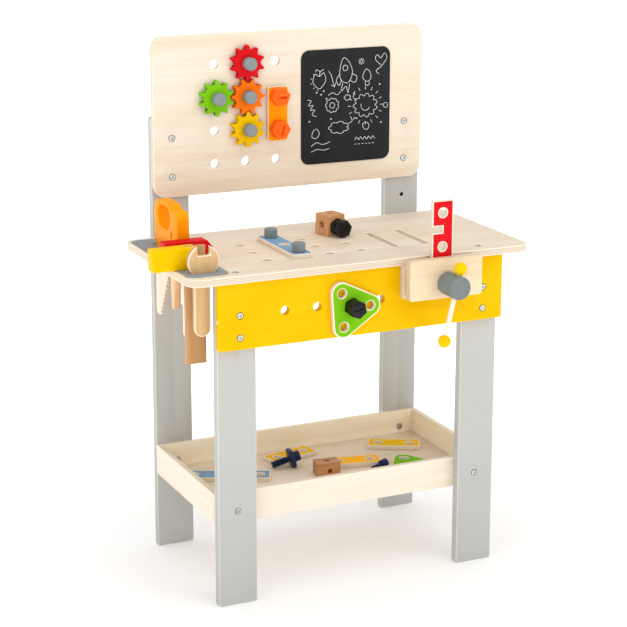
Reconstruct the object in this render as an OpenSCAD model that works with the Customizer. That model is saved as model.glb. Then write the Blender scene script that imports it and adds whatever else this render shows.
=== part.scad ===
// Toy workbench with a peg board, a chalk board, a vise, a tray and loose play tools.
// Millimetres, +Z up. Origin on the floor, midway between the outer faces of the legs.
// X runs along the bench, and -Y is the side that the child stands at.

/* [Frame] */
// Distance over the outer faces of the legs
frame_w = 530; // [520:1:545]
// Distance from the front of the front legs to the back of the rear posts
frame_d = 315; // [310:1:325]
// Width of each leg board
leg_w = 70; // [66:1:72]
// Thickness of the front leg boards
front_leg_t = 18; // [16:1:20]
// Thickness of the rear post boards
post_t = 15; // [14:1:18]
// Height of the rear posts
post_h = 800; // [780:1:830]

/* [Bench top] */
// Height of the top face of the bench top
top_z = 586; // [580:1:592]
// Thickness of the bench top
top_t = 13; // [12:1:15]
// Width of the bench top
top_w = 640; // [632:1:646]
// Overhang of the bench top in front of the front legs
top_front = 23; // [21:1:25]
// Corner radius of the bench top
top_r = 24; // [18:1:28]
// Distance between the peg holes, in all rows and columns
pitch = 59; // [58:1:60]
// Radius of a peg hole
hole_r = 8; // [7.5:0.1:8.5]

/* [Front board] */
// Height of the front board
board_h = 115; // [110:1:120]
// Thickness of the front board
board_t = 15; // [14:1:16]
// Height of the row of holes in the front board
board_hole_z = 516; // [514:1:517]

/* [Peg board] */
// Height of the lower edge of the peg board
panel_z0 = 657; // [650:1:662]
// Height of the peg board itself
panel_h = 285; // [280:1:295]
// Width of the peg board
panel_w = 528; // [520:1:532]
// Thickness of the peg board
panel_t = 10; // [9:1:12]
// Height of the top row of holes
panel_hole_z = 888; // [885:1:890]
// Height of the middle of the chalk board
chalk_z = 799; // [794:1:804]

/* [Tray] */
// Height of the underside of the tray walls
tray_z0 = 143; // [130:1:160]
// Height of the tray walls
tray_h = 55; // [50:1:60]
// Thickness of the tray walls
wall_t = 9.5; // [9:0.5:11]

/* [Vise] */
// Width of the vise jaws
jaw_w = 139; // [134:1:140]
// Distance across the middle of the vise, from the middle of the bench
vise_x = 134.5; // [133:0.5:136]
// Radius of the turning knob
knob_r = 20; // [18.5:0.5:20.5]
// Length of the turning knob
knob_l = 45; // [41:1:47]
// Radius of the vise screw
screw_r = 6; // [5.5:0.1:6.5]

/* [Play pieces] */
// Thickness of the plywood strips and plates
ply = 8; // [7.5:0.1:8]
// Width of the strips
strip_w = 39; // [37:1:40]
// Thickness of each gear
gear_t = 12; // [10:0.5:12]
// Radius of the head of a peg
peg_r = 11.5; // [11:0.1:12]
// Distance across the flats of the toy nuts
nut_af = 28; // [26:0.5:28.5]

/* [Hidden] */
$fn = 64;
// Gap at faces that pass each other
gap = 0.3;
// Number of teeth on each gear
teeth = 10;
// Radial clearance of a peg in its hole
fit = 0.1;
// Radius of the shank of a toy bolt, and how far the bolt hangs down in a hole
bolt_r = 5;

leg_x = frame_w / 2;
leg_y0 = -frame_d / 2;
leg_y1 = leg_y0 + front_leg_t;
post_y1 = frame_d / 2;
post_y0 = post_y1 - post_t;
top_z0 = top_z - top_t;
top_y0 = leg_y0 - top_front;
board_y0 = leg_y0 - board_t;
panel_y0 = post_y0 - panel_t;
grid_x = [-2.5 * pitch, -1.5 * pitch, -0.5 * pitch, 0.5 * pitch];
grid_y = [23.5, 23.5 - pitch, 23.5 - 2 * pitch];
panel_z = [for (i = [0:3]) panel_hole_z - i * pitch];
slot_x = [1.65 * pitch, 2.65 * pitch];
slot_l = 122;
slot_w = 12;
shank_r = hole_r - fit;
sag = hole_r - bolt_r - gap;
screw_x = 229;

// Screws: length, radius and depth of the head, and radius of the shank
screw_l = 24;
head_r = 5.4;
head_room = 1.2;
head_t = 3;
wood_screw_r = 2.5;
board_screw_z = [516.3, 478.3];
panel_screw_z = [692.5, 762];
tray_screw_z = 169;

// Tool plate along the left end of the bench top, and the slots in it: [x0, x1, y0, y1]
plate_t = 1;
plate_z = top_z + plate_t;
wrench_slot = [-305, -257, -141.5, -128.5];
square_slot = [-300, -258, -103.5, -90.5];
chisel_slot = [-310.5, -294.5, -84, -57.5];
hammer_slot = [-283, -266, -61, -29];
saw_slot = [-281.5, -270.5, -1, 93];

// Vise
vise_z = 542.5;
knob_x = vise_x + 2.5;
fixed_jaw_t = 14;
fixed_jaw_y0 = board_y0 - fixed_jaw_t;
jaw_y1 = fixed_jaw_y0 - ply - 2 * gap;
jaw_t = 16;
jaw_y0 = jaw_y1 - jaw_t;
jaw_z0 = 516;
jaw_z1 = top_z - 0.5;
pin_dx = 46;
pin_z = 532;
pin_r = 5;
bar_tilt = 13;
bar_r = 4;
ball_r = 11.2;
ball_up = knob_r + ball_r + gap;
ball_down = 95;
bar_y = jaw_y0 - 0.68 * knob_l;

// Gears: pitch circles touch, so the pitch radius is half the hole pitch
gear_tip_r = 0.5 * pitch + 3;
gear_root_r = 0.5 * pitch - 5;
tooth_tip_r = 2.4;
tooth_base = 5.2;
gear_y1 = panel_y0 - 0.5;
gear_y0 = gear_y1 - gear_t;
peg_head_l = 16;
nut_t = 10;
boss_r = 9.5;
boss_l = 6;
slotted_head_t = 18;
slotted_head_af = 30;

// Wooden cube on the bench top: size, place and turn
cube_s = 38;
cube_at = [33.1, 37.5];
cube_turn = 12;

// ---------- shapes that repeat ----------

module round_rect(x0, x1, y0, y1, r) {
    translate([x0 + r, y0]) square([x1 - x0 - 2 * r, y1 - y0]);
    translate([x0, y0 + r]) square([x1 - x0, y1 - y0 - 2 * r]);
    for (x = [x0 + r, x1 - r], y = [y0 + r, y1 - r]) translate([x, y]) circle(r);
}

// A board that lies flat: the outline is in X and Y
module flat_board(x0, x1, y0, y1, z0, t, r) {
    translate([0, 0, z0]) linear_extrude(t) round_rect(x0, x1, y0, y1, r);
}

// Stands a drawing up so that it is in X and Z, and t thick from y0 towards the back
module facing_front(y0, t) {
    translate([0, y0 + t, 0]) rotate([90, 0, 0]) linear_extrude(t) children();
}

// Stands a drawing up so that it is in Y and Z, and t thick from x0 towards the right
module facing_side(x0, t) {
    translate([x0, 0, 0]) rotate([90, 0, 90]) linear_extrude(t) children();
}

module front_panel(x0, x1, z0, z1, y0, t, r) {
    facing_front(y0, t) round_rect(x0, x1, z0, z1, r);
}

// A rod along Y, from y0 to y1
module rod_y(x, z, y0, y1, r) {
    translate([x, y0, z]) rotate([-90, 0, 0]) cylinder(h = y1 - y0, r = r);
}

module rod_z(x, y, z0, z1, r) {
    translate([x, y, z0]) cylinder(h = z1 - z0, r = r);
}

// A wood screw along its own -Z, with the top of its head at the origin and a cross recess in it
module wood_screw() {
    difference() {
        union() {
            translate([0, 0, -head_t]) cylinder(h = head_t - 0.4, r = head_r - 0.1);
            translate([0, 0, -0.4]) cylinder(h = 0.4, r1 = head_r - 0.1, r2 = head_r - 0.6);
            translate([0, 0, -screw_l]) cylinder(h = screw_l - head_t, r = wood_screw_r);
        }
        for (a = [0, 90]) rotate(a + 20) translate([-3.2, -0.7, -1.8]) cube([6.4, 1.4, 3]);
    }
}

// The room that such a screw takes
module screw_room() {
    translate([0, 0, -head_t]) cylinder(h = head_t + 1, r = head_r + head_room);
    translate([0, 0, -screw_l - 0.2]) cylinder(h = screw_l, r = wood_screw_r + 0.05);
}

// Aims a screw backwards from a front face, forwards from a back face, or down from the top
module screw_from_front(x, y, z) {
    translate([x, y, z]) rotate([90, 0, 0]) children();
}

module screw_from_back(x, y, z) {
    translate([x, y, z]) rotate([-90, 0, 0]) children();
}

module at_top_screws() {
    for (side = [-1, 1]) {
        translate([side * screw_x, leg_y0 + 6, top_z]) children();
        screw_from_back(side * screw_x, post_y1, top_z - top_t / 2) children();
    }
}

module at_board_screws() {
    for (side = [-1, 1], z = board_screw_z) screw_from_front(side * screw_x, board_y0, z) children();
}

module at_panel_screws() {
    for (side = [-1, 1], z = panel_screw_z) screw_from_front(side * screw_x, panel_y0, z) children();
}

module at_tray_screws() {
    for (side = [-1, 1]) {
        screw_from_front(side * screw_x, leg_y0, tray_screw_z) children();
        screw_from_front(side * screw_x, post_y0 - wall_t, tray_screw_z - 3) children();
    }
}

// A plywood strip with n holes along X, centred on the origin, lying on z = 0
module strip(n, r) {
    l = pitch * (n - 1) + strip_w;
    difference() {
        flat_board(-l / 2, l / 2, -strip_w / 2, strip_w / 2, 0, ply, r);
        for (i = [0:n - 1]) rod_z((i - (n - 1) / 2) * pitch, 0, -1, ply + 1, hole_r);
    }
}

// A peg along +Z: its stem goes down from z = 0 and its head stands up
module peg(stem) {
    rotate_extrude() polygon([[0, -stem], [shank_r - 1, -stem], [shank_r, 1 - stem], [shank_r, 0],
        [peg_r - 1, 0], [peg_r, 1], [peg_r, peg_head_l - 1.5], [peg_r - 1.5, peg_head_l],
        [0, peg_head_l]]);
}

module hex_prism(af, t) {
    cylinder(h = t, r = af / sqrt(3), $fn = 6);
}

// A toy bolt along +Z: hexagon, then a round boss with a screwdriver slot, and a shank below.
// Its shank is thinner than the holes, so it hangs a little low in them.
module slotted_bolt(shank, slot_turn) {
    top = slotted_head_t + boss_l;
    difference() {
        union() {
            hex_prism(slotted_head_af, slotted_head_t);
            translate([0, 0, slotted_head_t]) cylinder(h = boss_l - 2, r = boss_r);
            translate([0, 0, top - 2]) cylinder(h = 2, r1 = boss_r, r2 = boss_r - 2);
            translate([0, 0, -shank]) cylinder(h = shank + 1, r = bolt_r);
        }
        rotate(slot_turn) translate([-peg_r, -1.3, top - 3.5]) cube([2 * peg_r, 2.6, 5]);
    }
}

// A shank with ring grooves that stand for its thread, along +X from 0 to l
module threaded_shank(l, r, depth) {
    rings = floor(l / 4) - 1;
    root = r - depth;
    rotate([0, 90, 0]) rotate_extrude() polygon(concat([[0, 0], [r - 1, 0]],
        [for (i = [0:rings - 1]) for (p = [[r, 1], [r, 2], [root, 3], [root, 4]])
            [p[0], p[1] + 4 * i]], [[root, l], [0, l]]));
}

module gear_outline(first_tooth) {
    tip = gear_tip_r - tooth_tip_r;
    circle(gear_root_r);
    for (i = [0:teeth - 1]) rotate(first_tooth + i * 360 / teeth) {
        polygon([[gear_root_r - 3, -tooth_base], [gear_root_r, -tooth_base + 0.2],
            [tip, -tooth_tip_r], [tip, tooth_tip_r], [gear_root_r, tooth_base - 0.2],
            [gear_root_r - 3, tooth_base]]);
        translate([tip, 0]) circle(tooth_tip_r);
    }
}

module gear(column, row, first_tooth) {
    x = grid_x[column];
    z = panel_z[row];
    difference() {
        facing_front(gear_y0, gear_t) translate([x, z]) gear_outline(first_tooth);
        rod_y(x, z, gear_y0 - 1, gear_y1 + 1, hole_r);
    }
}

module panel_peg(column, row) {
    translate([grid_x[column], gear_y0 - 0.2, panel_z[row]])
        rotate([90, 0, 0]) peg(panel_t + gear_t + 0.2);
}

// ---------- frame ----------

module front_leg(side) {
    x0 = side < 0 ? -leg_x : leg_x - leg_w;
    difference() {
        front_panel(x0, x0 + leg_w, 0, top_z0, leg_y0, front_leg_t, 5);
        at_board_screws() screw_room();
        at_tray_screws() screw_room();
        at_top_screws() screw_room();
    }
}

module rear_post(side) {
    x0 = side < 0 ? -leg_x : leg_x - leg_w;
    difference() {
        front_panel(x0, x0 + leg_w, 0, post_h, post_y0, post_t, 5);
        at_panel_screws() screw_room();
        at_tray_screws() screw_room();
        at_top_screws() screw_room();
        rod_y(side * 231.5, 621.5, post_y0 - 1, post_y0 + 11, 4);
    }
}

module tool_slots(z0, z1) {
    for (s = [wrench_slot, square_slot, chisel_slot, hammer_slot, saw_slot])
        flat_board(s[0], s[1], s[2], s[3], z0, z1 - z0, 2);
}

module bench_top() {
    color("wheat") difference() {
        flat_board(-top_w / 2, top_w / 2, top_y0, post_y0, top_z0, top_t, top_r);
        for (x = grid_x, y = grid_y) rod_z(x, y, top_z0 - 1, top_z + 1, hole_r);
        for (x = slot_x)
            flat_board(x - slot_w / 2, x + slot_w / 2, 22 - slot_l, 22, top_z0 - 1, top_t + 2, 5.9);
        tool_slots(top_z0 - 1, top_z + 1);
        at_top_screws() screw_room();
    }
}

module tool_plate() {
    color("slategray") difference() {
        flat_board(-314.5, -240, -163, 128, top_z, plate_t, 16);
        tool_slots(top_z - 1, plate_z + 1);
    }
}

module front_board() {
    color("gold") difference() {
        front_panel(-leg_x - 2, leg_x + 2, top_z0 - board_h, top_z0, board_y0, board_t, 2);
        for (x = grid_x) rod_y(x, board_hole_z, board_y0 - 1, leg_y0 + 1, hole_r);
        at_board_screws() screw_room();
        rod_y(knob_x, vise_z, board_y0 - 1, leg_y0 + 1, screw_r + 1);
        vise_pin_holes(board_y0 - 1, leg_y0 + 1);
    }
}

module rear_rail() {
    color("burlywood") front_panel(leg_w - leg_x, leg_x - leg_w, top_z0 - 35, top_z0, post_y0 - 15, 15, 2);
}

module peg_board() {
    color("wheat") difference() {
        front_panel(-panel_w / 2, panel_w / 2, panel_z0, panel_z0 + panel_h, panel_y0, panel_t, 23);
        for (column = [0:2], z = panel_z) rod_y(grid_x[column], z, panel_y0 - 1, post_y0 + 1, hole_r);
        at_panel_screws() screw_room();
    }
}

module chalk_board() {
    color("black") front_panel(19, 198, chalk_z - 104, chalk_z + 104, panel_y0 - 2, 2, 16);
}

// ---------- tray ----------

module tray_floor() {
    color("wheat")
        translate([wall_t - leg_x, leg_y1 + wall_t, tray_z0 + 5.5])
            cube([frame_w - 2 * wall_t - 1.4, post_y0 - leg_y1 - 2 * wall_t - 1.4, 5]);
}

module tray_front_wall() {
    color("wheat") difference() {
        translate([-leg_x, leg_y1, tray_z0]) cube([frame_w, wall_t, tray_h]);
        at_tray_screws() screw_room();
    }
}

module tray_back_wall() {
    color("wheat") difference() {
        translate([-leg_x, post_y0 - wall_t, tray_z0]) cube([frame_w, wall_t, tray_h]);
        at_tray_screws() screw_room();
    }
}

module tray_side_wall(x0) {
    translate([x0, leg_y1 + wall_t, tray_z0]) cube([wall_t, post_y0 - leg_y1 - 2 * wall_t, tray_h]);
}

module tray_left_wall() {
    color("wheat") tray_side_wall(-leg_x);
}

module tray_right_wall() {
    color("wheat") tray_side_wall(leg_x - wall_t);
}

// ---------- fasteners ----------

module bench_screws() {
    color("silver") {
        at_panel_screws() wood_screw();
        at_board_screws() wood_screw();
        at_tray_screws() wood_screw();
        at_top_screws() wood_screw();
    }
}

// ---------- vise ----------

module vise_pin_holes(y0, y1) {
    for (dx = [-pin_dx, pin_dx]) rod_y(knob_x + dx, pin_z, y0, y1, pin_r + 0.05);
}

module vise_fixed_jaw() {
    color("burlywood") difference() {
        front_panel(vise_x - jaw_w / 2, vise_x + jaw_w / 2, jaw_z0, top_z0, fixed_jaw_y0, fixed_jaw_t, 1.5);
        rod_y(knob_x, vise_z, fixed_jaw_y0 - 1, board_y0 + 1, screw_r + 1);
        vise_pin_holes(fixed_jaw_y0 - 1, board_y0 + 1);
    }
}

module vise_nut() {
    color("burlywood") difference() {
        front_panel(knob_x - 25, knob_x + 25, vise_z - 25, vise_z + 25, leg_y0, 20, 3);
        rod_y(knob_x, vise_z, leg_y0 - 1, leg_y0 + 21, screw_r + 0.05);
    }
}

module vise_jaw() {
    color("burlywood") difference() {
        front_panel(vise_x - jaw_w / 2, vise_x + jaw_w / 2, jaw_z0, jaw_z1, jaw_y0, jaw_t, 4);
        rod_y(knob_x, vise_z, jaw_y0 - 1, jaw_y1 + 1, screw_r + 0.05);
        for (dx = [-pin_dx, pin_dx]) rod_y(knob_x + dx, pin_z, jaw_y1 - 8, jaw_y1 + 1, pin_r);
    }
}

module vise_guide_pins() {
    color("tan") for (dx = [-pin_dx, pin_dx])
        rod_y(knob_x + dx, pin_z, jaw_y1 - 8, leg_y0 + 11, pin_r);
}

// Shank from the knob through the moving jaw, a shoulder behind that jaw, then the thread
module vise_screw() {
    l = 95;
    neck = fixed_jaw_y0 - jaw_y0 + 5;
    color("tan") {
        translate([knob_x, jaw_y0 - 3 + neck, vise_z]) rotate(90) threaded_shank(l - neck, screw_r, 1);
        rod_y(knob_x, vise_z, jaw_y0 - 3, jaw_y0 - 2 + neck, screw_r);
        rod_y(knob_x, vise_z, jaw_y1 + gap, jaw_y1 + gap + 3, screw_r + 3);
    }
}

module along_bar() {
    translate([knob_x, bar_y, vise_z]) rotate([0, bar_tilt, 0]) children();
}

module vise_knob() {
    color("slategray") difference() {
        translate([knob_x, jaw_y0 - gap, vise_z]) rotate([90, 0, 0]) rotate_extrude()
            polygon([[0, 0], [knob_r - 1, 0], [knob_r, 1], [knob_r, knob_l - 1.5],
                [knob_r - 1.5, knob_l], [0, knob_l]]);
        rod_y(knob_x, vise_z, jaw_y0 - 3, jaw_y0 + 1, screw_r);
        along_bar() translate([0, 0, -30]) cylinder(h = 60, r = bar_r + 0.05);
    }
}

module tommy_bar() {
    color("tan") along_bar()
        translate([0, 0, -ball_down - 4]) cylinder(h = ball_down + ball_up + 8, r = bar_r);
}

module tommy_balls() {
    color("gold") along_bar() difference() {
        union() {
            translate([0, 0, ball_up]) sphere(ball_r);
            translate([0, 0, -ball_down]) sphere(ball_r);
        }
        translate([0, 0, -ball_down - 4]) cylinder(h = ball_down + ball_up + 8, r = bar_r);
    }
}

// ---------- pieces on the peg board ----------

module gear_red() { color("crimson") gear(1, 0, 90); }
module gear_green() { color("yellowgreen") gear(0, 1, 18); }
module gear_orange() { color("darkorange") gear(1, 1, 0); }
module gear_yellow() { color("gold") gear(1, 2, 90); }
module peg_red() { color("slategray") panel_peg(1, 0); }
module peg_green() { color("slategray") panel_peg(0, 1); }
module peg_orange() { color("slategray") panel_peg(1, 1); }
module peg_yellow() { color("slategray") panel_peg(1, 2); }

module orange_strip() {
    color("orange") translate([grid_x[2], panel_y0 - gap, (panel_z[1] + panel_z[2]) / 2 - 2 * sag])
        rotate([90, 90, 0]) strip(2, 4);
}

module strip_bolt(row, turn, slot_turn) {
    color("orangered") translate([grid_x[2], panel_y0 - ply - 2 * gap, panel_z[row] - sag])
        rotate([90, 0, 0]) rotate(turn) slotted_bolt(panel_t + ply, slot_turn);
}

module strip_bolt_upper() { strip_bolt(1, 12, -12); }
module strip_bolt_lower() { strip_bolt(2, 0, 75); }

// ---------- pieces on the front board ----------

triangle_y0 = board_y0 - gap - ply - 2;
triangle_reach = 34;
triangle_r = 19;
// Its bolt has a thinner shank, so both hang lower
triangle_bolt_r = 4;
triangle_sag = hole_r - triangle_bolt_r - gap;
triangle_z = board_hole_z - 2 * triangle_sag;

// Triangle with round corners and four holes, about its own middle, with a corner at +X
module triangle_shape() {
    half = triangle_reach * sqrt(3) / 2;
    edge = triangle_reach / 2 + triangle_r - 0.1;
    difference() {
        union() {
            polygon([for (a = [0, 120, 240], y = [half, -half])
                [-edge * cos(a) - y * sin(a), y * cos(a) - edge * sin(a)]]);
            for (a = [0, 120, 240]) rotate(a) translate([triangle_reach, 0]) circle(triangle_r);
        }
        circle(hole_r);
        for (a = [0, 120, 240]) rotate(a) translate([triangle_reach, 0]) circle(hole_r);
    }
}

module triangle_plate() {
    color("limegreen") facing_front(triangle_y0, ply + 2)
        translate([grid_x[2], triangle_z]) rotate(4) triangle_shape();
}

// Nut against the plate, and the head of the bolt in front of it
module triangle_bolt() {
    color("black") translate([grid_x[2], triangle_y0 - gap, board_hole_z - triangle_sag])
        rotate([90, 0, 0]) difference() {
            union() {
                rotate(22) hex_prism(nut_af, nut_t);
                translate([0, 0, nut_t + 1]) rotate(38) hex_prism(nut_af, nut_t + 4);
                translate([0, 0, -board_t - ply])
                    cylinder(h = board_t + ply + nut_t + 2, r = triangle_bolt_r);
            }
            translate([0, 0, 2 * nut_t + 5]) rotate(10) cube([18, 2.6, 5], center = true);
        }
}

// ---------- pieces on the bench top ----------

module blue_strip() {
    color("steelblue") translate([grid_x[1], grid_y[1], top_z]) rotate(90) strip(3, 7);
}

module peg_blue_back() {
    color("slategray") translate([grid_x[1], grid_y[0], top_z + ply + gap]) peg(20);
}

module peg_blue_front() {
    color("slategray") translate([grid_x[1], grid_y[2], top_z + ply + gap]) peg(20);
}

module at_cube() {
    translate([cube_at[0], cube_at[1], top_z + cube_s / 2]) rotate(cube_turn) children();
}

module cube_block() {
    color("peru") at_cube() difference() {
        cube(cube_s, center = true);
        rotate([90, 0, 0]) cylinder(h = cube_s + 2, r = hole_r, center = true);
        translate([0, 0, cube_s / 2 - 9]) cylinder(h = 10, r = 5);
        translate([1 - cube_s / 2, 0, 0]) rotate([0, 90, 0]) cylinder(h = 16, r = 6, center = true);
    }
}

// Stands on the front face of the cube, with +Z outwards, and hangs in its hole
module on_cube() {
    at_cube() translate([0, -cube_s / 2, -sag]) rotate([90, 0, 0]) children();
}

module cube_nut() {
    color("black") on_cube() translate([0, 0, gap]) difference() {
        rotate(30) hex_prism(nut_af, nut_t);
        translate([0, 0, -1]) cylinder(h = nut_t + 2, r = bolt_r + 0.05);
    }
}

module cube_bolt() {
    head_z = nut_t + 3;
    color("black") on_cube() difference() {
        union() {
            translate([0, 0, head_z]) rotate(8) hex_prism(nut_af, nut_t + 2);
            translate([0, 0, -cube_s - 4]) cylinder(h = cube_s + 5 + head_z, r = bolt_r);
        }
        translate([0, 0, head_z + nut_t + 2]) rotate(40) cube([18, 2.6, 5], center = true);
    }
}

module red_plate() {
    x0 = 114.5;
    x1 = x0 + strip_w + 1;
    color("crimson") difference() {
        front_panel(x0, x1, 567, 683, jaw_y1 + gap, ply, 1.5);
        for (z = [602.5, 602.5 + pitch])
            rod_y((x0 + x1) / 2, z, jaw_y1, jaw_y1 + ply + 1, hole_r);
        translate([x0 - 1, jaw_y1, 627]) cube([20.5, ply + 1, 11]);
    }
}

// ---------- tools ----------

saw_blade_x = -279;
saw_blade_t = 6;

module saw_tenon() {
    translate([22, plate_z - 2]) square([58, 24]);
}

module saw_blade() {
    n = 14;
    foot = [72, 463];
    head = [12, 582];
    step = (head - foot) / n;
    color("wheat") facing_side(saw_blade_x, saw_blade_t) polygon(concat(
        [[80, plate_z], [90, plate_z], [90, 468], [84, 463]],
        [for (i = [0:n - 1]) for (p = [foot + i * step, foot + (i + 0.55) * step + [-5, -1]]) p],
        [head, [5, plate_z], [22, plate_z], [22, plate_z + 22], [80, plate_z + 22]]));
}

// Handle in one piece: a tall lobe with the finger hole, and a shorter lobe in front of it
module saw_handle() {
    color("orange") difference() {
        facing_side(-280, 22) difference() {
            union() {
                round_rect(4, 92, plate_z, 671, 25);
                round_rect(-22, 12, plate_z, 664, 15);
                translate([-22, plate_z]) square([114, 40]);
            }
            round_rect(14, 72, 624, 664, 19.5);
        }
        translate([-281, 8, 613]) cube([2.5, 2, 12]);
        facing_side(saw_blade_x, saw_blade_t) saw_tenon();
    }
}

module wrench() {
    color("burlywood") facing_front(-140, 10) difference() {
        union() {
            translate([-279.5, 606]) circle(27.5);
            translate([-296.5, 492.5]) square([28.5, 100]);
            translate([-282.25, 492.5]) circle(14.25);
        }
        translate([-290, 616]) square([22, 30]);
    }
}

module square_tenon() {
    translate([-297, -101, 421]) cube([36, ply, plate_z + 37 - 421]);
}

module square_stock() {
    color("gold") difference() {
        flat_board(-357, -279, -110, -84, plate_z, 37, 3);
        square_tenon();
    }
}

module square_blade() {
    color("burlywood") square_tenon();
}

module hammer_tenon() {
    translate([-57, plate_z - 4]) square([24, 28]);
}

module hammer_head() {
    color("crimson") difference() {
        facing_front(-58, 27) polygon([[-316, plate_z], [-240, plate_z], [-229, plate_z + 6],
            [-229, plate_z + 20], [-240, plate_z + 34], [-316, plate_z + 34]]);
        facing_side(-280, 11) hammer_tenon();
    }
}

// Wide under the head, narrower below, with a round end
module hammer_handle() {
    color("wheat") facing_side(-280, 11) {
        hammer_tenon();
        translate([-57, 508]) square([24, plate_z - 508]);
        translate([-57, 462]) square([16, 48]);
        translate([-49, 462]) circle(8);
    }
}

module chisel() {
    color("burlywood") {
        facing_side(-308, 11)
            polygon([[-82, plate_z + 2], [-82, 560], [-73, 511], [-64, 511], [-59.5, 560],
                [-59.5, plate_z + 2]]);
        flat_board(-317, -288, -82, -59.5, plate_z, 24, 6);
    }
}

// ---------- pieces in the tray ----------

tray_top = tray_z0 + 10.5;

module in_tray(x, y, turn) {
    translate([x, y, tray_top]) rotate(turn) children();
}

module tray_blue_strip() { color("steelblue") in_tray(-170, 38, -24.5) strip(3, 7); }
module tray_strip_left() { color("gold") in_tray(-21.4, 91.2, 13.4) strip(2, 5); }
module tray_strip_middle() { color("gold") in_tray(72, 12, -11.8) strip(2, 10); }
module tray_strip_right() { color("gold") in_tray(182, 66.6, -26.9) strip(2, 3); }

// Long bolt that lies on the rim of its nut and the end of its shank
module tray_long_bolt() {
    thread = 34;
    thread_r = 7;
    nut = 33;
    tilt = atan((nut / 2 - thread_r) / thread);
    color("midnightblue") in_tray(-76, 50, -6.8) translate([0, 0, thread_r * cos(tilt) + 0.05])
        rotate([0, -tilt, 0]) {
            threaded_shank(thread, thread_r, 2);
            translate([thread, 0, 0]) rotate([0, 90, 0]) rotate(30) hex_prism(nut, 8);
            translate([thread + 8, 0, 0]) rotate([0, 90, 0]) cylinder(h = 12, r = boss_r);
        }
}

module tray_short_bolt() {
    thread = 22;
    thread_r = 5;
    knob = 8;
    tilt = atan((knob - thread_r) / thread);
    color("midnightblue") in_tray(84, -40, 18.4) translate([0, 0, thread_r * cos(tilt) + 0.05])
        rotate([0, -tilt, 0]) {
            threaded_shank(thread, thread_r, 1.4);
            translate([thread, 0, 0]) rotate([0, 90, 0]) cylinder(h = 13, r = knob);
        }
}

module tray_block() {
    color("peru") in_tray(4, -14, -8) difference() {
        translate([-22, -15, 0]) cube([44, 30, 25]);
        rod_z(0, 0, 13, 26, 6);
        rod_y(2, 9, -16, -4, 4.5);
    }
}

// A corner of this triangle points to the back of the tray
module tray_triangle() {
    color("yellowgreen") in_tray(160, -17, 88) translate([-triangle_reach, 0, 0])
        linear_extrude(ply) triangle_shape();
}

color("lightgray") front_leg(-1);  // front_leg_left
color("lightgray") front_leg(1);  // front_leg_right
color("lightgray") rear_post(-1);  // rear_post_left
color("lightgray") rear_post(1);  // rear_post_right
bench_top();
front_board();
rear_rail();
tool_plate();
peg_board();
chalk_board();
tray_floor();
tray_front_wall();
tray_back_wall();
tray_left_wall();
tray_right_wall();
bench_screws();
vise_fixed_jaw();
vise_nut();
vise_jaw();
vise_guide_pins();
vise_screw();
vise_knob();
tommy_bar();
tommy_balls();
gear_red();
gear_green();
gear_orange();
gear_yellow();
peg_red();
peg_green();
peg_orange();
peg_yellow();
orange_strip();
strip_bolt_upper();
strip_bolt_lower();
triangle_plate();
triangle_bolt();
blue_strip();
peg_blue_back();
peg_blue_front();
cube_block();
cube_bolt();
cube_nut();
red_plate();
saw_handle();
saw_blade();
wrench();
square_stock();
square_blade();
hammer_head();
hammer_handle();
chisel();
tray_blue_strip();
tray_strip_left();
tray_strip_middle();
tray_strip_right();
tray_long_bolt();
tray_short_bolt();
tray_block();
tray_triangle();
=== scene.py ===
"""Looks of the toy workbench.

Materials, soft edges, painted faces, chalk marks, floor, light and camera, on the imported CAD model.
"""

import math

import bmesh
import bpy
from mathutils import Matrix, Vector
from mathutils.geometry import tessellate_polygon


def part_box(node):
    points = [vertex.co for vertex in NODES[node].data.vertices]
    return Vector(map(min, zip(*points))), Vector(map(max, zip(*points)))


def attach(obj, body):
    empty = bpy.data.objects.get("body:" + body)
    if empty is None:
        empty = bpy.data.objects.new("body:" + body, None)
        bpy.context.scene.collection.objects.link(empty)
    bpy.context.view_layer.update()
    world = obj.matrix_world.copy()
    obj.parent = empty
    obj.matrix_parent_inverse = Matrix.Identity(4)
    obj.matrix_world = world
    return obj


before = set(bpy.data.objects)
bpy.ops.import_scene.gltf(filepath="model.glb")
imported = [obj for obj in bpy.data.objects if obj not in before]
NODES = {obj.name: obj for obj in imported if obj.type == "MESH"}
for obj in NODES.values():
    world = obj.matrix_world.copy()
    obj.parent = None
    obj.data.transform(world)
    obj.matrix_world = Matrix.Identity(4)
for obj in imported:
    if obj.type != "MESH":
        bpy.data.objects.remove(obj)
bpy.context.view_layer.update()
MM = 0.001
scene = bpy.context.scene


# ---------------------------------------------------------------- materials

def rgb(code):
    """Linear colour with alpha from a hexadecimal sRGB code."""
    parts = [int(code[i:i + 2], 16) / 255 for i in (0, 2, 4)]
    return tuple(c / 12.92 if c <= 0.04045 else ((c + 0.055) / 1.055) ** 2.4 for c in parts) + (1.0,)


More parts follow.
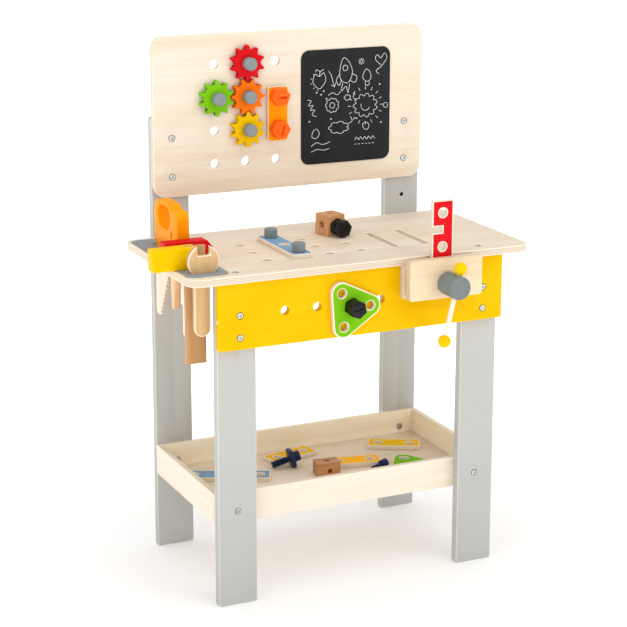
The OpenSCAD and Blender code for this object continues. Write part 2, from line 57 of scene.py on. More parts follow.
class Shader:
    """A node material with short names for the nodes that it uses."""

    def __init__(self, name, roughness=0.5):
        self.mat = bpy.data.materials.new(name)
        self.mat.use_nodes = True
        self.tree = self.mat.node_tree
        self.bsdf = self.tree.nodes["Principled BSDF"]
        self.bsdf.inputs["Roughness"].default_value = roughness
        coords = self.add("ShaderNodeTexCoord")
        self.place = coords.outputs["Object"]
        self.normal = coords.outputs["Normal"]

    def add(self, kind, sockets=None, **props):
        node = self.tree.nodes.new(kind)
        for key, value in props.items():
            setattr(node, key, value)
        for key, value in (sockets or {}).items():
            self.put(node.inputs[key], value)
        return node

    def put(self, socket, value):
        if isinstance(value, bpy.types.NodeSocket):
            self.tree.links.new(value, socket)
        else:
            socket.default_value = value

    def math(self, operation, a, b=0.0):
        return self.add("ShaderNodeMath", {0: a, 1: b}, operation=operation).outputs[0]

    def noise(self, stretch, detail=4.0, roughness=0.6, shift=(0, 0, 0), distortion=0.0):
        """Noise whose number of features in a metre is given for X, Y and Z."""
        mapped = self.add("ShaderNodeMapping",
                          {"Vector": self.place, "Location": shift, "Scale": stretch})
        node = self.add("ShaderNodeTexNoise",
                        {"Vector": mapped.outputs[0], "Scale": 1.0, "Detail": detail,
                         "Roughness": roughness, "Distortion": distortion})
        return node.outputs["Fac"]

    def span(self, value, low, high, to_low=0.0, to_high=1.0):
        """Moves a value from one range to another, and keeps it inside."""
        node = self.add("ShaderNodeMapRange", {"Value": value, "From Min": low, "From Max": high,
                                               "To Min": to_low, "To Max": to_high})
        return node.outputs["Result"]

    def mix(self, amount, a, b):
        node = self.add("ShaderNodeMix", data_type="RGBA", clamp_factor=True)
        for index, value in ((0, amount), (6, a), (7, b)):
            self.put(node.inputs[index], value)
        return node.outputs[2]

    def ramp(self, value, stops):
        """Colours by value, from stops of (position, colour)."""
        node = self.add("ShaderNodeValToRGB", {"Fac": value})
        band = node.color_ramp
        while len(band.elements) < len(stops):
            band.elements.new(0.5)
        for element, (position, colour) in zip(band.elements, stops):
            element.position = position
            element.color = colour
        return node.outputs["Color"]

    def axis(self, vector, letter):
        return self.add("ShaderNodeSeparateXYZ", {0: vector}).outputs[letter]

    def bump(self, height, strength, distance, under=None):
        sockets = {"Height": height, "Strength": strength, "Distance": distance}
        if under is not None:
            sockets["Normal"] = under
        return self.add("ShaderNodeBump", sockets).outputs["Normal"]

    def finish(self, colour, normal=None, roughness=None, **constants):
        """Joins the last nodes to the surface and sets its other sockets. Returns the material."""
        self.put(self.bsdf.inputs["Base Color"], colour)
        if normal is not None:
            self.put(self.bsdf.inputs["Normal"], normal)
        if roughness is not None:
            self.put(self.bsdf.inputs["Roughness"], roughness)
        for key, value in constants.items():
            self.bsdf.inputs[key.replace("_", " ")].default_value = value
        return self.mat


def stretched(along, across, lengthwise):
    """Features in a metre for noise that runs with the grain along one axis."""
    return tuple(lengthwise if letter == along else across for letter in "XYZ")


def darker(colour, share):
    """A share of a colour's light."""
    return tuple(c * share for c in colour[:3]) + (1,)


def wood(name, light, dark, along, ply=None, roughness=0.5, figure=1.0, seed=0.0):
    """Lacquered wood with its grain along one axis.

    ply is (axis, low side in m, thickness of a layer in m), and draws the layers of plywood on the
    faces that look away from that axis.
    """
    s = Shader(name, roughness)
    shift = (seed, seed * 1.7, seed * 2.3)
    broad = s.noise(stretched(along, 16, 1.6), 3, 0.5, shift, 0.6)
    bands = s.noise(stretched(along, 120, 3.2), 4, 0.6, shift, 0.3)
    fibre = s.noise(stretched(along, 900, 26), 3, 0.7, shift)
    pores = s.noise(stretched(along, 1500, 110), 2, 0.5, shift)
    mixed = s.math("ADD", s.math("MULTIPLY", broad, 0.45 * figure),
                   s.math("MULTIPLY", bands, 0.33 * figure))
    mixed = s.math("ADD", mixed, s.math("MULTIPLY", fibre, 0.22))
    middle = tuple((a + b) / 2 for a, b in zip(light, dark))
    mean = 0.39 * figure + 0.11
    colour = s.ramp(mixed, [(mean - 0.13, light), (mean + 0.02, middle), (mean + 0.16, dark)])
    flecks = s.span(pores, 0.62, 0.74)
    colour = s.mix(s.math("MULTIPLY", flecks, 0.22), colour, darker(dark, 0.62))
    height = s.math("ADD", fibre, s.math("MULTIPLY", pores, -0.5))
    if ply:
        letter, low, layer = ply
        level = s.math("DIVIDE", s.math("SUBTRACT", s.axis(s.place, letter), low), layer)
        level = s.math("ADD", level, s.math("MULTIPLY", s.noise((30, 30, 30), 2, 0.5), 0.12))
        stripe = s.math("PINGPONG", level, 1.0)
        tone = s.ramp(stripe, [(0.30, light), (0.5, middle), (0.66, darker(dark, 0.8))])
        grain = s.noise((260, 260, 260), 3, 0.6)
        tone = s.mix(s.math("MULTIPLY", grain, 0.35), tone, dark)
        glue = s.math("ABSOLUTE", s.math("SUBTRACT", s.math("FRACT", level), 0.5))
        tone = s.mix(s.span(glue, 0.38, 0.48, 0, 0.6), tone, darker(dark, 0.5))
        facing = s.math("ABSOLUTE", s.axis(s.normal, letter))
        face = s.span(facing, 0.55, 0.7)
        colour = s.mix(face, tone, colour)
        ridges = s.math("MULTIPLY", s.math("SUBTRACT", 1.0, face), s.math("MULTIPLY", stripe, 0.8))
        height = s.math("ADD", height, ridges)
    sheen = s.span(broad, 0.3, 0.7, roughness - 0.06, roughness + 0.08)
    return s.finish(colour, s.bump(height, 0.22, 0.0004), sheen)


def paint(name, code, along, roughness, depth, seed, telegraph=0.12, scuffed=0.2):
    """Opaque satin paint on wood: faint clouds of tone, the grain showing through, and fine scuffs.

    depth is how far the tones lie apart, telegraph how much of the grain shows in the relief.
    """
    s = Shader(name, roughness)
    base = rgb(code)
    shift = (seed, -seed * 1.3, seed * 0.7)
    deep = darker(base, 1 - depth)
    pale = tuple(min(1.0, c * (1 + depth * 0.6) + 0.004) for c in base[:3]) + (1,)
    clouds = s.noise((14, 14, 14), 4, 0.55, shift)
    grain = s.noise(stretched(along, 420, 12), 4, 0.65, shift)
    colour = s.ramp(clouds, [(0.30, deep), (0.5, base), (0.72, pale)])
    colour = s.mix(s.math("MULTIPLY", s.span(grain, 0.45, 0.75), 0.35), colour, deep)
    scuffs = s.noise(stretched(along, 90, 700), 5, 0.8, shift)
    colour = s.mix(s.math("MULTIPLY", s.span(scuffs, 0.68, 0.82), scuffed), colour, pale)
    orange_peel = s.noise((1400, 1400, 1400), 2, 0.5)
    normal = s.bump(grain, telegraph, 0.0003, s.bump(orange_peel, 0.05, 0.0002))
    sheen = s.span(scuffs, 0.3, 0.8, roughness - 0.04, roughness + 0.14)
    return s.finish(colour, normal, sheen, Specular_IOR_Level=0.04)


def stain(name, code, along, roughness, seed, lift):
    """Wood under a coloured stain, so that its grain stays in sight. lift is the grain's contrast."""
    s = Shader(name, roughness)
    base = rgb(code)
    pale = tuple(min(1.0, c * (1 + lift) + 0.01) for c in base[:3]) + (1,)
    deep = darker(base, 1 - lift * 0.8)
    shift = (seed, seed, seed)
    grain = s.noise(stretched(along, 620, 24), 5, 0.7, shift, 0.4)
    bands = s.noise(stretched(along, 130, 6), 3, 0.5, shift)
    mixed = s.math("ADD", s.math("MULTIPLY", grain, 0.55), s.math("MULTIPLY", bands, 0.45))
    colour = s.ramp(mixed, [(0.32, deep), (0.5, base), (0.68, pale)])
    sheen = s.span(grain, 0.3, 0.7, roughness - 0.05, roughness + 0.1)
    return s.finish(colour, s.bump(grain, 0.25, 0.0004), sheen, Specular_IOR_Level=0.22)


def steel(name):
    """Zinc plated steel with fine turning marks."""
    s = Shader(name, 0.3)
    marks = s.noise((2200, 300, 2200), 3, 0.6)
    patches = s.noise((240, 240, 240), 3, 0.5)
    colour = s.ramp(patches, [(0.3, rgb("9b9c98")), (0.6, rgb("c9cac6")), (0.8, rgb("dcdcd8"))])
    return s.finish(colour, s.bump(marks, 0.15, 0.0001), s.span(marks, 0.3, 0.7, 0.22, 0.42),
                    Metallic=1.0)


def chalkboard(name):
    """Matt black board with wiped chalk dust."""
    s = Shader(name, 0.72)
    wipes = s.noise((26, 26, 9), 5, 0.6, distortion=1.4)
    grit = s.noise((1100, 1100, 1100), 3, 0.7)
    colour = s.ramp(wipes, [(0.35, rgb("1c1d1f")), (0.6, rgb("232426")), (0.8, rgb("2e2f31"))])
    colour = s.mix(s.math("MULTIPLY", s.span(grit, 0.6, 0.8), 0.3), colour, rgb("3c3e40"))
    return s.finish(colour, s.bump(grit, 0.3, 0.0002), s.span(wipes, 0.3, 0.8, 0.62, 0.8),
                    Specular_IOR_Level=0.15)


def chalk(name):
    """Dry white chalk line that skips over the grit of the board."""
    s = Shader(name, 0.9)
    skips = s.noise((900, 900, 900), 3, 0.7)
    colour = s.ramp(skips, [(0.32, rgb("a4a6a6")), (0.46, rgb("e4e5e4")), (0.6, rgb("fbfbfa"))])
    return s.finish(colour, s.bump(skips, 0.5, 0.0003))


def painted_hole_shade(name):
    """Painted shade: a dark brown for the wall of a screw hole, where shade falls inside it."""
    s = Shader(name, 0.8)
    grit = s.noise((500, 500, 500), 3, 0.6)
    colour = s.ramp(grit, [(0.3, rgb("2a1d16")), (0.7, rgb("46342a"))])
    return s.finish(colour, s.bump(grit, 0.3, 0.0004))


def floor_surface(name):
    """Pale seamless studio floor that glows, which is painted light: a faint glow near the bench lifts
    the shadows under it, and the glow rises to the white of the background away from the bench.
    """
    s = Shader(name, 0.65)
    clouds = s.noise((1.3, 1.3, 1.3), 3, 0.5)
    distance = s.add("ShaderNodeVectorMath", {0: s.place}, operation="LENGTH").outputs["Value"]
    # Glow of the floor: faint near the bench, where it lightens the shadows, and full white far away.
    s.put(s.bsdf.inputs["Emission Strength"], s.span(distance, 0.40, 1.30, 0.18, 1.0))
    s.bsdf.inputs["Emission Color"].default_value = (1, 1, 1, 1)
    colour = s.ramp(clouds, [(0.3, rgb("ececec")), (0.7, rgb("f0f0f0"))])
    return s.finish(colour, Specular_IOR_Level=0.1)


# Light and dark tone of each wood.
BIRCH = (rgb("e9dccb"), rgb("d9c5a8"))
PALE = (rgb("f6eddd"), rgb("e9d7bd"))
# The next tone is a lighter copy of PALE for the back and right walls of the tray: painted light that
# lifts the shade inside the tray.
SHADE_LIFTED_WOOD = (rgb("fff6e2"), rgb("fcebcd"))
OAK = (rgb("d09a68"), rgb("a76f42"))
FRESH = (rgb("ecc99f"), rgb("d6a574"))
# The next two are darker copies of FRESH for the wrench and the blade of the square, which hang under the
# bench top: painted shade.
SHADED_TAN = (rgb("dfbd8c"), rgb("c5975e"))
SHADED_BROWN = (rgb("d6a974"), rgb("b98449"))
BEECH = (rgb("ecd9ba"), rgb("dcc299"))


def ply_of(node, letter, layers):
    """Where the layers of a plywood node lie, for wood()."""
    low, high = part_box(node)
    index = "XYZ".index(letter)
    return (letter, low[index], (high[index] - low[index]) / layers)


# ---------------------------------------------------------------- pieces from the CAD model

WELD_DISTANCE = 0.01 * MM
SHARP_ANGLE = math.radians(32)


def dress(node, material, edge, bevel, segments=3):
    """Gives a CAD node its material and softens its edges by a bevel, in mm.

    edge is the material of the rounded edges, or None for the material of the faces.
    """
    obj = NODES[node]
    obj.data.materials.clear()
    obj.data.materials.append(material)
    if edge:
        obj.data.materials.append(edge)
    for polygon in obj.data.polygons:
        polygon.material_index = 0
        polygon.use_smooth = True
    if not bevel:
        return
    weld = obj.modifiers.new("weld", "WELD")
    weld.merge_threshold = WELD_DISTANCE
    soft = obj.modifiers.new("soft edges", "BEVEL")
    soft.limit_method = "ANGLE"
    soft.angle_limit = SHARP_ANGLE
    soft.width = bevel * MM
    soft.segments = segments
    soft.use_clamp_overlap = False
    soft.loop_slide = False
    soft.harden_normals = True
    if edge:
        soft.material = 1


grey = paint("grey_paint", "bdbdb9", "Z", 0.55, 0.02, 1.0, 0.04, 0.05)
# The edge paint below is a lighter grey for the rounded edges of the legs and posts: a painted highlight.
grey_highlight_edge = paint("grey_paint_highlight", "d4d4d0", "Z", 0.55, 0.02, 1.5, 0.04, 0.05)
yellow = paint("yellow_paint", "e8b700", "X", 0.36, 0.06, 2.0)
# The edge paint below is a lighter yellow for the rounded edges of the front board: a painted highlight.
yellow_highlight_edge = paint("yellow_paint_highlight", "f4c808", "X", 0.4, 0.06, 2.5)
red = paint("red_paint", "d3141d", "X", 0.35, 0.10, 3.0)
green = paint("green_paint", "78bd14", "X", 0.38, 0.10, 4.0)
orange = paint("orange_paint", "fb9a05", "Z", 0.36, 0.08, 5.0)
amber = paint("amber_paint", "f9b90c", "X", 0.36, 0.08, 12.0)
deep_orange = paint("deep_orange_paint", "f0720f", "X", 0.36, 0.10, 6.0)
bolt_orange = paint("bolt_orange_paint", "ff6a1c", "Y", 0.3, 0.10, 7.0)
blue = paint("blue_paint", "7d9dba", "Y", 0.42, 0.08, 8.0)
slate = paint("slate_print", "8f9699", "Y", 0.6, 0.08, 9.0)
black = stain("black_stain", "070708", "Y", 0.3, 1.0, 0.5)
navy = stain("navy_paint", "14244c", "X", 0.3, 2.0, 0.3)
peg_grey = stain("grey_stain_y", "82898a", "Y", 0.5, 3.0, 0.16)
peg_grey_z = stain("grey_stain_z", "7d868a", "Z", 0.5, 4.0, 0.2)
knob_grey = stain("grey_stain_knob", "727b7a", "Y", 0.45, 5.0, 0.12)
zinc = steel("zinc_steel")

for post in ("front_leg_left", "front_leg_right", "rear_post_left", "rear_post_right"):
    dress(post, grey, grey_highlight_edge, 1.3)
# The bench top and the peg board take a paler wood on their rounded edges: a painted highlight.
dress("bench_top", wood("top_ply", *BIRCH, "X", ply_of("bench_top", "Z", 9), 0.5, 1.0, 1.0),
      wood("top_ply_highlight", *PALE, "X", None, 0.5, 0.6, 1.2), 1.4)
dress("peg_board", wood("panel_ply", *BIRCH, "X", ply_of("peg_board", "Y", 7), 0.52, 1.0, 2.0),
      wood("panel_ply_highlight", *PALE, "X", None, 0.5, 0.6, 2.2), 1.2)
dress("front_board", yellow, yellow_highlight_edge, 1.2)
dress("rear_rail", wood("rail_ply", *BIRCH, "X", ply_of("rear_rail", "Y", 9), 0.55, 1.0, 3.0),
      None, 1.2)
dress("tool_plate", slate, None, 0.3, 2)
dress("chalk_board", chalkboard("chalk_black"), None, 0.5, 2)
dress("tray_floor", wood("tray_floor_ply", *BIRCH, "X", ply_of("tray_floor", "Z", 3), 0.5, 1.1, 4.0),
      None, 0.4, 2)
# The back and right walls take the lighter tone: painted light against the shade inside the tray.
for wall, tones, grain, through, seed in (("tray_front_wall", PALE, "X", "Y", 5.0),
                                          ("tray_back_wall", SHADE_LIFTED_WOOD, "X", "Y", 6.0),
                                          ("tray_left_wall", PALE, "Y", "X", 7.0),
                                          ("tray_right_wall", SHADE_LIFTED_WOOD, "Y", "X", 8.0)):
    dress(wall, wood(wall + "_ply", *tones, grain, ply_of(wall, through, 7), 0.5, 0.9, seed), None, 0.9)
dress("bench_screws", zinc, None, 0)

dress("vise_jaw", wood("jaw_ply", *BEECH, "X", ply_of("vise_jaw", "Y", 9), 0.5, 1.0, 9.0), None, 1.4)
dress("vise_fixed_jaw",
      wood("fixed_jaw_ply", *BIRCH, "X", ply_of("vise_fixed_jaw", "Y", 11), 0.5, 1.0, 10.0), None, 1.2)
dress("vise_nut", wood("nut_wood", *FRESH, "X", None, 0.55, 1.0, 11.0), None, 1.0)
for piece in ("vise_guide_pins", "vise_screw"):
    dress(piece, wood(piece + "_wood", *FRESH, "Y", None, 0.5, 0.8, 12.0), None, 0.4, 2)
dress("tommy_bar", wood("tommy_bar_wood", *PALE, "Z", None, 0.5, 0.8, 13.0), None, 0.6, 2)
dress("vise_knob", knob_grey, None, 0.8)
dress("tommy_balls", paint("ball_paint", "eec000", "Z", 0.3, 0.08, 10.0), None, 0.6, 2)

for node, material in (("gear_red", red), ("gear_green", green),
                       ("gear_orange", deep_orange), ("gear_yellow", yellow)):
    dress(node, material, None, 0.9)
for peg in ("peg_red", "peg_green", "peg_orange", "peg_yellow"):
    dress(peg, peg_grey, None, 0.5, 2)
for peg in ("peg_blue_back", "peg_blue_front"):
    dress(peg, peg_grey_z, None, 0.5, 2)
for bolt in ("strip_bolt_upper", "strip_bolt_lower"):
    dress(bolt, bolt_orange, None, 0.9)
for bolt in ("triangle_bolt", "cube_bolt", "cube_nut"):
    dress(bolt, black, None, 0.9)
for bolt in ("tray_long_bolt", "tray_short_bolt"):
    dress(bolt, navy, None, 0.5, 2)

# Axis through the layers and axis of the grain of each plywood plate.
PLATES = {
    "orange_strip": ("Y", "Z"), "triangle_plate": ("Y", "X"), "blue_strip": ("Z", "Y"),
    "red_plate": ("Y", "Z"), "tray_blue_strip": ("Z", "X"), "tray_strip_left": ("Z", "X"),
    "tray_strip_middle": ("Z", "X"), "tray_strip_right": ("Z", "X"), "tray_triangle": ("Z", "X"),
}
for index, (node, (through, grain)) in enumerate(PLATES.items()):
    dress(node, wood(node + "_ply", *PALE, grain, ply_of(node, through, 5), 0.5, 0.9, 20.0 + index),
          None, 0.7)

dress("cube_block", wood("cube_wood", *OAK, "Z", None, 0.55, 1.3, 30.0), None, 1.0)
dress("tray_block", wood("block_wood", *OAK, "X", None, 0.55, 1.3, 31.0), None, 0.9)
dress("saw_handle", orange, None, 2.2, 4)
dress("saw_blade", wood("saw_blade_ply", *BIRCH, "Z", ply_of("saw_blade", "X", 5), 0.5, 1.0, 32.0),
      None, 0.6)
# The wrench takes a paler wood on its rounded edges: a painted highlight.
dress("wrench", wood("wrench_wood", *SHADED_TAN, "Z", ply_of("wrench", "Y", 7), 0.5, 1.0, 33.0),
      wood("wrench_rim_highlight", *PALE, "Z", None, 0.5, 0.7, 33.5), 1.5)
dress("square_stock", paint("stock_paint", "eec000", "X", 0.34, 0.08, 11.0), None, 1.6)
# The blade of the square takes the darker tool tone: painted shade.
dress("square_blade",
      wood("square_blade_ply", *SHADED_BROWN, "Z", ply_of("square_blade", "Y", 5), 0.5, 1.0, 34.0), None, 0.6)
dress("hammer_head", red, None, 1.6)
dress("hammer_handle", wood("hammer_wood", *PALE, "Z", None, 0.5, 1.0, 35.0), None, 1.2)
dress("chisel", wood("chisel_wood", *FRESH, "Z", None, 0.5, 1.0, 36.0), None, 1.0)


# ---------------------------------------------------------------- painted faces of the plywood plates

def arc(x, y, radius, start, end, steps=10):
    """Points on an arc, angles in degrees."""
    angles = [math.radians(start + (end - start) * i / steps) for i in range(steps + 1)]
    return [(x + radius * math.cos(a), y + radius * math.sin(a)) for a in angles]


def rounded(length, width, radius, margin):
    """Outline of a plate with round corners, drawn in by a margin, about its own middle."""
    x, y, r = length / 2 - radius, width / 2 - radius, radius - margin
    corners = ((x, y, 0), (-x, y, 90), (-x, -y, 180), (x, -y, 270))
    return [point for cx, cy, turn in corners for point in arc(cx, cy, r, turn, turn + 90, 6)]


PITCH = 59.0          # between the holes of strips and plates
STRIP_WIDTH = 39.0
HOLE_RADIUS = 8.0
MARGIN = 2.0          # bare wood along the edges of a painted face
REACH = 34.0          # from the middle of a triangle to the holes in its corners
CORNER_RADIUS = 19.0  # of a triangle
COAT = 0.15           # thickness of the paint on a plate
TRIANGLE_Z = 508.6    # middle of the triangle on the front board
NOTCH_DEPTH = 19.5    # of the red plate
NOTCH = (627, 638)    # its lower and upper side


def closed_piece(name, body, material, verts, faces):
    """A closed mesh with its normals outwards, which rides on a body."""
    mesh = bpy.data.meshes.new(name)
    mesh.from_pydata(verts, [], faces)
    work = bmesh.new()
    work.from_mesh(mesh)
    bmesh.ops.recalc_face_normals(work, faces=work.faces)
    work.to_mesh(mesh)
    work.free()
    mesh.materials.append(material)
    obj = bpy.data.objects.new(name, mesh)
    scene.collection.objects.link(obj)
    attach(obj, body)


def painted_face(name, body, material, outline, holes, place, rim=1.7):
    """A coat of paint on one face of a plate: the outline without a ring round each hole.

    place puts the drawing, in mm, on the face. The coat stands proud of the wood by its thickness.
    """
    loops = [outline] + [arc(x, y, HOLE_RADIUS + rim, 360, 0, 40)[:-1] for x, y in holes]
    points = [point for loop in loops for point in loop]
    caps = tessellate_polygon([[Vector((x, y, 0)) for x, y in loop] for loop in loops])
    count = len(points)
    verts = [place @ Vector((x, y, z)) * MM for z in (0, COAT) for x, y in points]
    faces = [tuple(index + count for index in cap) for cap in caps]
    faces += [tuple(reversed(cap)) for cap in caps]
    start = 0
    for loop in loops:
        for i in range(len(loop)):
            a, b = start + i, start + (i + 1) % len(loop)
            faces.append((a, b, b + count, a + count))
        start += len(loop)
    closed_piece(name, body, material, verts, faces)


def lying(x, y, z, turn=0.0):
    """Puts a drawing on a level face at this height, in mm and degrees."""
    return Matrix.Translation((x, y, z)) @ Matrix.Rotation(math.radians(turn), 4, "Z")


def standing(x, y, z, turn=0.0):
    """Puts a drawing on a face that looks towards -Y."""
    return (Matrix.Translation((x, y, z)) @ Matrix.Rotation(math.radians(90), 4, "X")
            @ Matrix.Rotation(math.radians(turn), 4, "Z"))


def strip_face(name, body, material, count, radius, place, margin=MARGIN):
    """The painted face of a strip with a row of holes. radius is that of its corners."""
    holes = [((i - (count - 1) / 2) * PITCH, 0) for i in range(count)]
    length = PITCH * (count - 1) + STRIP_WIDTH
    outline = rounded(length, STRIP_WIDTH, radius, margin)
    painted_face(name, body, material, outline, holes, place)


def triangle_face(name, body, place):
    """The painted face of a triangle with a hole in its middle and in each corner."""
    corners = [(REACH * math.cos(math.radians(a)), REACH * math.sin(math.radians(a)), a)
               for a in (0, 120, 240)]
    outline = [point for x, y, a in corners
               for point in arc(x, y, CORNER_RADIUS - MARGIN, a - 60, a + 60, 12)]
    holes = [(0, 0)] + [(x, y) for x, y, _ in corners]
    painted_face(name, body, green, outline, holes, place, rim=1.4)


def top_of(node):
    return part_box(node)[1].z / MM


def front_of(node):
    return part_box(node)[0].y / MM


def middle_of(node):
    low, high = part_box(node)
    return (low + high) / 2 / MM


def coats():
    """Paint on the faces of the strips and plates, whose edges stay bare plywood."""
    middle = middle_of("orange_strip")
    strip_face("orange_strip_coat", "strip_on_board", orange, 2, 4,
               standing(middle.x, front_of("orange_strip"), middle.z, 90), 0.9)
    middle = middle_of("blue_strip")
    strip_face("blue_strip_coat", "strip_on_top", blue, 3, 7,
               lying(middle.x, middle.y, top_of("blue_strip"), 90))
    tray = (("tray_blue_strip", "loose_blue_strip", blue, 3, 7, -24.5),
            ("tray_strip_left", "loose_strip_left", yellow, 2, 5, 13.4),
            ("tray_strip_middle", "loose_strip_middle", amber, 2, 10, -11.8),
            ("tray_strip_right", "loose_strip_right", yellow, 2, 3, -26.9))
    for node, body, material, count, radius, turn in tray:
        middle = middle_of(node)
        strip_face(node + "_coat", body, material, count, radius,
                   lying(middle.x, middle.y, top_of(node), turn))
    triangle_face("triangle_coat", "triangle",
                  standing(-PITCH / 2, front_of("triangle_plate"), TRIANGLE_Z, 4))
    place = lying(160, -17, top_of("tray_triangle"), 88) @ Matrix.Translation((-REACH, 0, 0))
    triangle_face("tray_triangle_coat", "loose_triangle", place)
    low, high = (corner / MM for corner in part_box("red_plate"))
    x0, x1, z0, z1 = low.x + MARGIN, high.x - MARGIN, low.z + MARGIN, high.z - MARGIN
    notch_end = low.x + NOTCH_DEPTH + MARGIN
    notch_low, notch_high = NOTCH[0] - MARGIN, NOTCH[1] + MARGIN
    outline = [(x0, z0), (x1, z0), (x1, z1), (x0, z1), (x0, notch_high), (notch_end, notch_high),
               (notch_end, notch_low), (x0, notch_low)]
    middle_x, hole_z = (low.x + high.x) / 2, 602.5
    holes = [(middle_x, hole_z), (middle_x, hole_z + PITCH)]
    painted_face("red_plate_coat", "plate_in_vise", red, outline, holes, standing(0, low.y, 0))
    mirrored = standing(0, high.y, 0) @ Matrix.Scale(-1, 4, (0, 0, 1))
    painted_face("red_plate_back_coat", "plate_in_vise", red, outline, holes, mirrored)


# ---------------------------------------------------------------- chalk drawing

def bowed(points, close=False, steps=6):
    """A smooth line through points given on the board."""
    count = len(points)
    line = []
    for i in range(count if close else count - 1):
        near = [points[(i + k) % count] if close else points[max(0, min(count - 1, i + k))]
                for k in (-1, 0, 1, 2)]
        for j in range(steps):
            t = j / steps
            weights = (-t + 2 * t * t - t ** 3, 2 - 5 * t * t + 3 * t ** 3,
                       t + 4 * t * t - 3 * t ** 3, t ** 3 - t * t)
            line.append(tuple(sum(w * p[k] for w, p in zip(weights, near)) / 2 for k in (0, 1)))
    line.append(line[0] if close else points[-1])
    return line


def oval(u, v, ru, rv, start=0, end=360, wave=0.0, lobes=0):
    """An oval or a part of it, with scallops if wave is given."""
    steps = max(16, lobes * 8)
    line = []
    for i in range(steps + 1):
        a = math.radians(start + (end - start) * i / steps)
        swell = 1 + wave * abs(math.sin(lobes * a / 2)) if lobes else 1
        line.append((u + ru * swell * math.cos(a), v + rv * swell * math.sin(a)))
    return line


def rays(u, v, inner, outer, count, start=0, end=360, squash=0.85):
    """Short lines round a point, flattened by squash."""
    angles = [math.radians(start + (end - start) * i / count) for i in range(count)]
    return [[(u + r * math.cos(a), v + r * squash * math.sin(a)) for r in (inner, outer)]
            for a in angles]


def chalk_lines():
    """Doodles as lines, with u to the right and v down, from 0 to 1 over the board."""
    lines = [
        bowed([(.20, .23), (.25, .20), (.27, .27), (.22, .33), (.18, .33), (.13, .28), (.15, .21)], True),
        bowed([(.20, .23), (.21, .19), (.25, .17)]), bowed([(.21, .19), (.17, .17), (.16, .19)]),
        bowed([(.30, .19), (.33, .22), (.35, .28), (.37, .33)]), [(.33, .31), (.37, .33), (.385, .29)],
        bowed([(.44, .27), (.43, .18), (.47, .08), (.54, .13), (.57, .22), (.52, .30)], True),
        oval(.49, .17, .028, .025), bowed([(.43, .22), (.39, .27), (.42, .32), (.45, .27)]),
        bowed([(.56, .22), (.62, .25), (.60, .30), (.54, .28)]),
        bowed([(.46, .30), (.45, .37), (.50, .33), (.52, .39), (.54, .31)]),
        bowed([(.89, .16), (.83, .11), (.85, .07), (.89, .10), (.93, .06), (.96, .10), (.90, .17),
               (.84, .21), (.87, .24)]),
        bowed([(.73, .19), (.77, .22), (.78, .27), (.74, .30), (.69, .27), (.70, .22)], True),
        bowed([(.72, .30), (.72, .33), (.76, .33), (.76, .30)]),
        oval(.72, .51, .105, .08, wave=0.32, lobes=11), oval(.72, .51, .05, .045, 20, 200),
        oval(.345, .49, .062, .053, wave=0.22, lobes=9), oval(.345, .49, .028, .024),
        oval(.515, .43, .028, .02, wave=0.3, lobes=5), oval(.42, .69, .09, .042, wave=0.3, lobes=7),
        bowed([(.07, .43), (.11, .44), (.08, .48), (.13, .48), (.10, .52), (.15, .52), (.12, .56),
               (.17, .58)]),
        bowed([(.13, .71), (.17, .69), (.20, .73), (.17, .77), (.12, .76)], True),
        bowed([(.11, .84), (.17, .81), (.24, .83), (.32, .81)]),
        bowed([(.11, .89), (.18, .87), (.25, .88), (.31, .87)]),
        bowed([(.72, .66), (.76, .68), (.75, .72), (.71, .72), (.69, .68)], True),
        oval(.95, .52, .026, .022),
        bowed([(.30, .40), (.35, .38), (.40, .40), (.44, .37)]),
        bowed([(.60, .38), (.58, .43), (.62, .46)]),
        bowed([(.55, .60), (.57, .64), (.53, .66)]),
        bowed([(.60 + .023 * i, .80 + .012 * (-1) ** i) for i in range(11)]),
    ]
    lines += rays(.67, .12, .012, .035, 8)
    lines += rays(.72, .51, .165, .20, 16)
    lines += rays(.20, .27, .085, .10, 5, 100, 260)
    lines += [[(.60 + .04 * i, .85), (.62 + .04 * i, .85)] for i in range(6)]
    dots = [(.17, .37), (.22, .39), (.28, .43), (.25, .36), (.09, .62), (.90, .67), (.33, .61),
            (.88, .33), (.62, .62)]
    lines += [oval(u, v, .006, .005) for u, v in dots]
    return lines


def chalk_drawing():
    """Lays the doodles on the board as thin round lines."""
    low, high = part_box("chalk_board")
    curve = bpy.data.curves.new("chalk_drawing", "CURVE")
    curve.dimensions = "3D"
    curve.bevel_depth = 0.45 * MM
    curve.bevel_resolution = 1
    curve.use_fill_caps = True
    for line in chalk_lines():
        spline = curve.splines.new("POLY")
        spline.points.add(len(line) - 1)
        for point, (u, v) in zip(spline.points, line):
            x, z = low.x + (high.x - low.x) * u, high.z - (high.z - low.z) * v
            point.co = (x, low.y - 0.1 * MM, z, 1)
    curve.materials.append(chalk("chalk_line"))
    obj = bpy.data.objects.new("chalk_drawing", curve)
    scene.collection.objects.link(obj)
    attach(obj, "bench")


def darken(node, material, x, z, reach):
    """Gives the wall and the floor of a hole that runs along Y a darker material, painted shade."""
    obj = NODES[node]
    obj.data.materials.append(material)
    low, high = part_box(node)
    index = len(obj.data.materials) - 1
    for polygon in obj.data.polygons:
        middle = polygon.center
        inside = low.y + 0.3 * MM < middle.y < high.y - 0.3 * MM
        if inside and math.hypot(middle.x - x * MM, middle.z - z * MM) < reach * MM:
            polygon.material_index = index


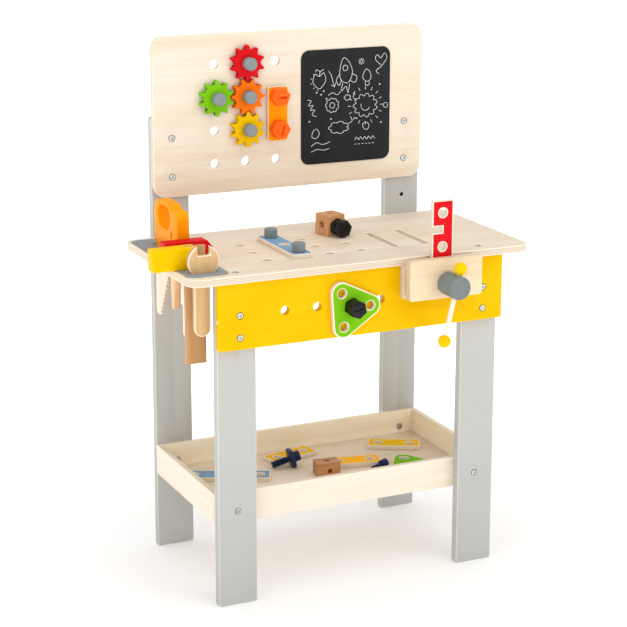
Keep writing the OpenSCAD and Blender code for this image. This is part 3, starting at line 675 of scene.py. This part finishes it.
def dowel(name, x, y, z, side):
    """Rounded end of a wooden dowel in an end of the front board. side is -1 or 1."""
    rings = ((3.0, 0.0), (2.9, 0.18), (2.6, 0.3), (1.3, 0.34))
    steps = 24
    verts = []
    for radius, height in rings:
        for i in range(steps):
            a = 2 * math.pi * i / steps
            point = Vector((x + side * height, y + radius * math.cos(a), z + radius * math.sin(a)))
            verts.append(point * MM)
    last = (len(rings) - 1) * steps
    faces = [(k + i, k + (i + 1) % steps, k + steps + (i + 1) % steps, k + steps + i)
             for k in range(0, last, steps) for i in range(steps)]
    faces.append(tuple(range(last, last + steps)))
    faces.append(tuple(range(steps)))
    material = wood(name + "_wood", *PALE, "X", None, 0.6, 0.8, 40.0)
    closed_piece(name, "bench", material, verts, faces)


SCREW_X = 229        # distance of the screws from the middle plane of the bench
SCREW_REACH = 6.9    # takes in a screw's recess
POST_HOLE_X = 231.5
POST_HOLE_REACH = 4.2
DOWEL_Z = 507

shadow = painted_hole_shade("hole_painted_shade")
coats()
chalk_drawing()
low, high = (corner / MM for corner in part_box("front_board"))
dowel("board_dowel_left", low.x, (low.y + high.y) / 2, DOWEL_Z, -1)
dowel("board_dowel_right", high.x, (low.y + high.y) / 2, DOWEL_Z, 1)
for side, hand in ((-1, "left"), (1, "right")):
    darken("rear_post_" + hand, shadow, side * POST_HOLE_X, 621.5, POST_HOLE_REACH)
    darken("front_leg_" + hand, shadow, side * SCREW_X, 169, SCREW_REACH)
    for height in (516.3, 478.3):
        darken("front_board", shadow, side * SCREW_X, height, SCREW_REACH)
    for height in (692.5, 762):
        darken("peg_board", shadow, side * SCREW_X, height, SCREW_REACH)


# ---------------------------------------------------------------- floor, light and camera

FLOOR_HALF = 9.0      # m
LIGHT_TARGET = (0, 0, 0.5)


def area(name, location, size, power):
    """A white rectangular light that points at the middle of the bench."""
    data = bpy.data.lights.new(name, "AREA")
    data.shape = "RECTANGLE"
    data.size, data.size_y = size
    data.energy = power
    obj = bpy.data.objects.new(name, data)
    obj.location = location
    aim = Vector(LIGHT_TARGET) - Vector(location)
    obj.rotation_euler = aim.to_track_quat("-Z", "Y").to_euler()
    scene.collection.objects.link(obj)


def studio():
    """Floor, even white surroundings and three lights."""
    mesh = bpy.data.meshes.new("studio_floor")
    r = FLOOR_HALF
    mesh.from_pydata([(-r, -r, 0), (r, -r, 0), (r, r, 0), (-r, r, 0)], [], [(0, 1, 2, 3)])
    obj = bpy.data.objects.new("studio_floor", mesh)
    scene.collection.objects.link(obj)
    mesh.materials.append(floor_surface("studio_floor"))
    world = bpy.data.worlds.new("studio")
    world.use_nodes = True
    tree = world.node_tree
    backdrop = tree.nodes["Background"]
    backdrop.inputs["Color"].default_value = (1, 1, 1, 1)
    seen = tree.nodes.new("ShaderNodeLightPath").outputs["Is Camera Ray"]
    strength = tree.nodes.new("ShaderNodeMapRange")
    strength.inputs["To Min"].default_value = 0.84
    strength.inputs["To Max"].default_value = 1.02
    tree.links.new(seen, strength.inputs["Value"])
    tree.links.new(strength.outputs["Result"], backdrop.inputs["Strength"])
    scene.world = world
    area("key", (1.6, -2.6, 2.6), (1.8, 1.8), 16.5)
    area("top", (-0.3, -0.3, 3.0), (2.6, 2.6), 21)
    area("left_fill", (-2.8, -1.6, 1.6), (1.6, 2.0), 7)


def camera():
    data = bpy.data.cameras.new("camera")
    data.sensor_width = 36
    data.lens = 108.226
    data.shift_y = -0.07
    data.clip_end = 60
    obj = bpy.data.objects.new("camera", data)
    obj.location = (-1.37777, -2.92966, 1.34099)
    obj.rotation_mode = "XYZ"
    obj.rotation_euler = (math.radians(75.96737), math.radians(-0.10948), math.radians(-24.89197))
    scene.collection.objects.link(obj)
    scene.camera = obj


camera()
studio()
scene.view_settings.view_transform = "Standard"
